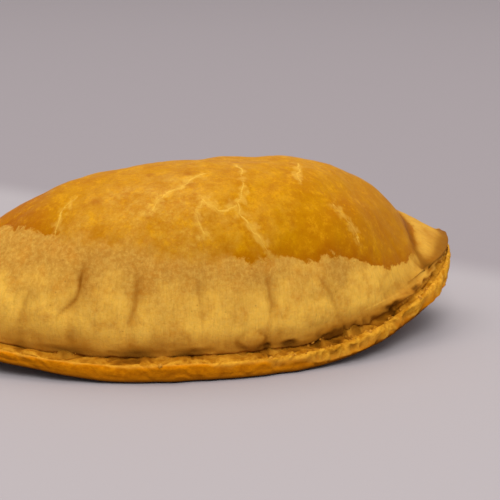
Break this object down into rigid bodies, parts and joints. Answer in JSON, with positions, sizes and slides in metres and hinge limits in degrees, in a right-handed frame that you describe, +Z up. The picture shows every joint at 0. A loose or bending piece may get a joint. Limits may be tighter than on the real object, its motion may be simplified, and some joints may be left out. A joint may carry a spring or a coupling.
{
  "type": "meat pie",
  "caption": "Whole baked folded meat pie: half-moon dome of egg-washed shortcrust over a pressed two-layer edge, its ends curled up.",
  "frame": {"origin": "centre of the bounding box at table level, where the pie's flat middle rests", "axes": "+X from ear to ear along the longest side, +Y from the pressed edge to the fold, +Z up"},
  "size_m": [0.1472, 0.0626, 0.0477],
  "materials": {
    "baked_shortcrust": "baked shortcrust pastry with a thin egg glaze, golden on top and paler at the foot"
  },
  "bodies": {
    "root": {"meat_pie": "baked_shortcrust"}
  },
  "joints": []
}
